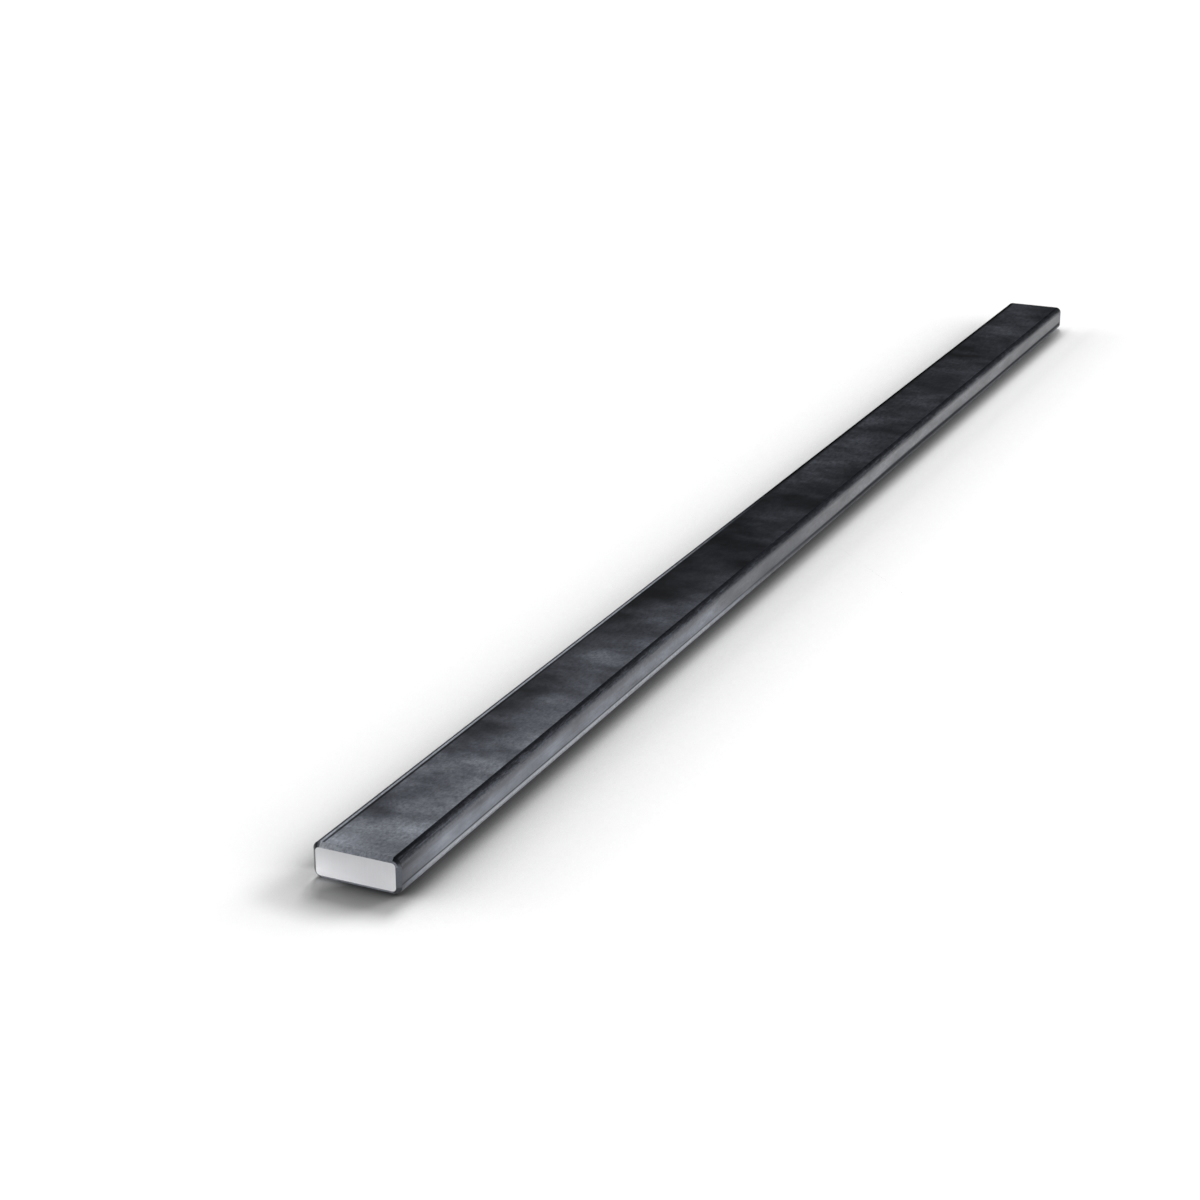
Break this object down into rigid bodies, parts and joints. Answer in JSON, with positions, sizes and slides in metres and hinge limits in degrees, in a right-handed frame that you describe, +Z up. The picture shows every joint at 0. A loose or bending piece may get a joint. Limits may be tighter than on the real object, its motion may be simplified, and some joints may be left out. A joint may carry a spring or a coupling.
{
  "type": "flat bar",
  "caption": "Straight length of hot-rolled steel flat bar with rounded long edges, dark mill scale on its rolled faces and bright bevelled cut ends.",
  "frame": {"origin": "centre of the underside, on the surface that the bar lies on", "axes": "+X along the length, +Y across the width, +Z up through the thickness"},
  "size_m": [1, 0.04, 0.016],
  "materials": {
    "hot_rolled_steel": "hot-rolled steel, satin: mottled dark blue-grey mill scale on the rolled faces and edges, bare light-grey metal on the two cut ends"
  },
  "bodies": {
    "root": {"flat_bar": "hot_rolled_steel"}
  },
  "joints": []
}
